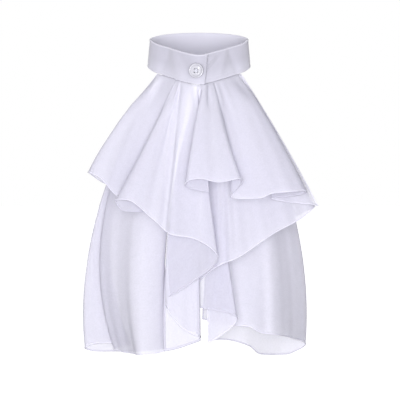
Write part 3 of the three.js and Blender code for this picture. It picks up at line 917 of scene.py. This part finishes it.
def button(material):
    """A turned disc with a raised rim, four holes, and its sharp edges rounded."""
    radius = BUTTON_DIAMETER / 2
    crown = BUTTON_THICKNESS
    dish = crown - BUTTON_DISH
    inner = radius - BUTTON_RIM_WIDTH

    # Half a section, from the middle of the back round the rim to the middle of the dish.
    profile = [(0, 0), (inner, 0), (radius - 0.0009, 0.0007), (radius - 0.0002, 0.0013), (radius, 0.0018),
               (radius - 0.0001, crown - 0.0007), (radius - 0.0004, crown - 0.0002), (radius - 0.0009, crown),
               (inner + 0.0001, crown - 0.0001), (inner - 0.0004, crown - 0.0005), (inner - 0.0008, dish),
               (0, dish)]
    work = bmesh.new()
    points = [work.verts.new((x, 0, z)) for x, z in profile]
    edges = [work.edges.new(pair) for pair in zip(points, points[1:])]
    bmesh.ops.spin(work, geom=points + edges, cent=(0, 0, 0), axis=(0, 0, 1), angle=2 * math.pi, steps=96,
                   use_merge=True, use_duplicate=False)
    bmesh.ops.remove_doubles(work, verts=work.verts, dist=1e-6)
    bmesh.ops.recalc_face_normals(work, faces=work.faces)
    mesh = bpy.data.meshes.new("button_disc")
    work.to_mesh(mesh)
    work.free()
    mesh.materials.append(material)
    piece = bpy.data.objects.new("button_disc", mesh)
    bpy.context.scene.collection.objects.link(piece)
    drills = []
    for x, y in hole_places():
        bpy.ops.mesh.primitive_cylinder_add(vertices=32, radius=BUTTON_HOLE / 2, depth=DRILL_LENGTH,
                                            location=(x, y, 0))
        drill = bpy.context.object
        cut = piece.modifiers.new("hole", "BOOLEAN")
        cut.object = drill
        cut.solver = "EXACT"
        drills.append(drill)
    bevel = piece.modifiers.new("round", "BEVEL")
    bevel.width = 0.00018
    bevel.segments = 3
    bevel.limit_method = "ANGLE"
    bevel.angle_limit = math.radians(35)
    apply_modifiers(piece)
    for drill in drills:
        bpy.data.objects.remove(drill)
    turned, centre = button_frame()
    piece.data.transform(Matrix.Translation(centre) @ turned)
    piece.data.polygons.foreach_set("use_smooth", [True] * len(piece.data.polygons))
    piece.data.set_sharp_from_angle(angle=math.radians(40))
    return piece


def tube(work, path, radius, sides=10):
    """A closed round tube along a list of points."""
    rings = []
    path = [Vector(p) for p in path]
    for i, point in enumerate(path):
        ahead = path[min(i + 1, len(path) - 1)] - path[max(i - 1, 0)]
        ahead.normalize()
        side = ahead.cross(Vector((0.3, 0.2, 1))).normalized()
        up = side.cross(ahead)
        ring = []
        for k in range(sides):
            angle = 2 * math.pi * k / sides
            ring.append(work.verts.new(point + (side * math.cos(angle) + up * math.sin(angle)) * radius))
        rings.append(ring)
    for one, two in zip(rings, rings[1:]):
        for k in range(sides):
            n = (k + 1) % sides
            work.faces.new((one[k], one[n], two[n], two[k]))
    work.faces.new(rings[0][::-1])
    work.faces.new(rings[-1])


def button_stitches(material):
    """Three turns of thread each way through the holes, crossing over the middle."""
    work = bmesh.new()
    half = BUTTON_HOLE_SPACING / 2
    top = BUTTON_THICKNESS - BUTTON_DISH
    overshoot = 1.08
    bow = 0.0005
    hole_starts = 0.78
    hole_depth = 0.0016
    for cross, sign in enumerate((1, -1)):
        seat = top + THREAD_DIAMETER * (0.3 + 0.75 * cross) - 0.0001
        for strand in (-1, 0, 1):
            aside = strand * THREAD_DIAMETER * 0.95 * 0.7
            path = []
            for along in np.linspace(-1, 1, 13):
                reach = half * overshoot * along
                sunk = hole_depth * max(0.0, abs(along) - hole_starts) / (1 - hole_starts)
                rise = seat + bow * (1 - along ** 2) - sunk
                path.append((reach + aside, sign * (reach - aside), rise))
            tube(work, path, THREAD_DIAMETER / 2)
    bmesh.ops.recalc_face_normals(work, faces=work.faces)
    mesh = bpy.data.meshes.new("button_stitches")
    work.to_mesh(mesh)
    work.free()
    mesh.materials.append(material)
    mesh.polygons.foreach_set("use_smooth", [True] * len(mesh.polygons))
    piece = bpy.data.objects.new("button_stitches", mesh)
    bpy.context.scene.collection.objects.link(piece)
    turned, centre = button_frame()
    piece.data.transform(Matrix.Translation(centre) @ turned)
    return piece


# Stage
def camera():
    lens = bpy.data.cameras.new("view")
    lens.sensor_width = SENSOR
    lens.lens = SENSOR * VIEW_DISTANCE / VIEW_WIDTH
    eye = bpy.data.objects.new("view", lens)
    bpy.context.scene.collection.objects.link(eye)
    rise = math.radians(VIEW_RISE)
    target = Vector(VIEW_TARGET)
    eye.location = target + VIEW_DISTANCE * Vector((0, -math.cos(rise), math.sin(rise)))
    eye.rotation_euler = (target - eye.location).to_track_quat("-Z", "Y").to_euler()
    bpy.context.scene.camera = eye


def floor():
    angles = [2 * math.pi * k / FLOOR_SIDES for k in range(FLOOR_SIDES)]
    ring = [(FLOOR_RADIUS * math.cos(angle), FLOOR_RADIUS * math.sin(angle), FLOOR_LEVEL) for angle in angles]
    piece = mesh_object("floor", ring, [tuple(range(FLOOR_SIDES))], paper_finish(), smooth=False)
    piece.visible_diffuse = False
    piece.visible_glossy = False


def soft_box(name, place, size, watts):
    light = bpy.data.lights.new(name, "AREA")
    light.shape = "SQUARE"
    light.size = size
    light.energy = watts
    holder = bpy.data.objects.new(name, light)
    bpy.context.scene.collection.objects.link(holder)
    holder.location = place
    aim = Vector(VIEW_TARGET) - Vector(place)
    holder.rotation_euler = aim.to_track_quat("-Z", "Y").to_euler()


def surroundings():
    """White all round to look at, with soft light that comes mostly from the front."""
    world = bpy.data.worlds.new("studio")
    world.use_nodes = True
    bpy.context.scene.world = world
    nodes, links = world.node_tree.nodes, world.node_tree.links
    nodes.clear()
    end = nodes.new("ShaderNodeOutputWorld")
    seen = nodes.new("ShaderNodeBackground")
    seen.inputs["Color"].default_value = colour(1, 1, 1)
    lit = nodes.new("ShaderNodeBackground")
    lit.inputs["Color"].default_value = colour(0.97, 0.97, 1.0)
    direction = nodes.new("ShaderNodeTexCoord")
    strength = None
    for towards, narrowness, share in LIGHT_FROM:
        facing = nodes.new("ShaderNodeVectorMath")
        facing.operation = "DOT_PRODUCT"
        facing.inputs[1].default_value = towards
        links.new(direction.outputs["Generated"], facing.inputs[0])
        part = nodes.new("ShaderNodeMath")
        part.operation = "MAXIMUM"
        links.new(facing.outputs["Value"], part.inputs[0])
        part.inputs[1].default_value = 0.0
        lobe = nodes.new("ShaderNodeMath")
        lobe.operation = "POWER"
        links.new(part.outputs[0], lobe.inputs[0])
        lobe.inputs[1].default_value = narrowness
        total = nodes.new("ShaderNodeMath")
        total.operation = "MULTIPLY_ADD"
        links.new(lobe.outputs[0], total.inputs[0])
        total.inputs[1].default_value = share
        if strength is None:
            total.inputs[2].default_value = LIGHT_ALL_ROUND
        else:
            links.new(strength, total.inputs[2])
        strength = total.outputs[0]
    links.new(strength, lit.inputs["Strength"])
    path = nodes.new("ShaderNodeLightPath")
    mix = nodes.new("ShaderNodeMixShader")
    links.new(path.outputs["Is Camera Ray"], mix.inputs[0])
    links.new(lit.outputs[0], mix.inputs[1])
    links.new(seen.outputs[0], mix.inputs[2])
    links.new(mix.outputs[0], end.inputs["Surface"])


scene = bpy.context.scene
scene.view_settings.view_transform = "Standard"
scene.cycles.transparent_max_bounces = 40
camera()
surroundings()
floor()
soft_box("front_light", FRONT_LIGHT_PLACE, FRONT_LIGHT_SIZE, FRONT_LIGHT_WATTS)

sheer = sheer_finish()
band_cloth = band_finish()
button_white = button_finish()
thread_white = thread_finish()

# Each flounce's long folds: place along the hem and width as shares of the hem's length, height in metres,
# and where the fold starts and ends as shares of the way down.
LEFT_FOLDS = [
    (0.140, 0.018, 0.0020, 0.3, 1.0),
    (0.433, 0.014, 0.0025, 0.1, 1.0),
    (0.509, 0.014, -0.0030, 0.2, 1.0),
]
RIGHT_FOLDS = [
    (0.626, 0.090, -0.0070, 0.0, 1.0),
]
CASCADE_FOLDS = [
    (0.506, 0.012, 0.0024, 0.3, 1.0),
    (0.548, 0.012, 0.0024, 0.3, 1.0),
]
LOWER_RIGHT_FOLDS = [
    (0.465, 0.042, -0.0034, 0.0, 1.2),
]

# Each flounce: its hem's bends, how far it stands forward, its folds, its seed, and the size it was cut
# to: the hem's length, the fall and the area of the curved strip.
flounces = [
    ("left_flounce", LEFT_ROWS, 0.009, LEFT_FOLDS, 11, (0.50, 0.175), 0.060),
    ("right_flounce", RIGHT_ROWS, 0.012, RIGHT_FOLDS, 22, (0.315, 0.147), 0.028),
    ("right_cascade", CASCADE_ROWS, 0.004, CASCADE_FOLDS, 33, (0.335, 0.205), 0.039),
    ("lower_right_flounce", LOWER_RIGHT_ROWS, -0.004, LOWER_RIGHT_FOLDS, 44, (0.31, 0.317), 0.062),
    ("lower_left_flounce", LOWER_LEFT_ROWS, -0.004, [], 55, (0.26, 0.320), 0.062),
]

band = neck_band(band_cloth)
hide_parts("neck_band")
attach(band, "root")
sewing = band_stitches(thread_white)
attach(sewing, "root")

for node, rows, puff, folds, seed, flat, area in flounces:
    piece, stitches = flounce(node + "_cloth", rows, puff, folds, seed, sheer, thread_white)
    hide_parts(node)
    for part in (piece, stitches):
        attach(part, "root")

for piece, node, slot in (
    (button(button_white), "button", "button_white"),
    (button_stitches(thread_white), "button_thread", "thread_white"),
):
    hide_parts(node)
    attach(piece, "root")
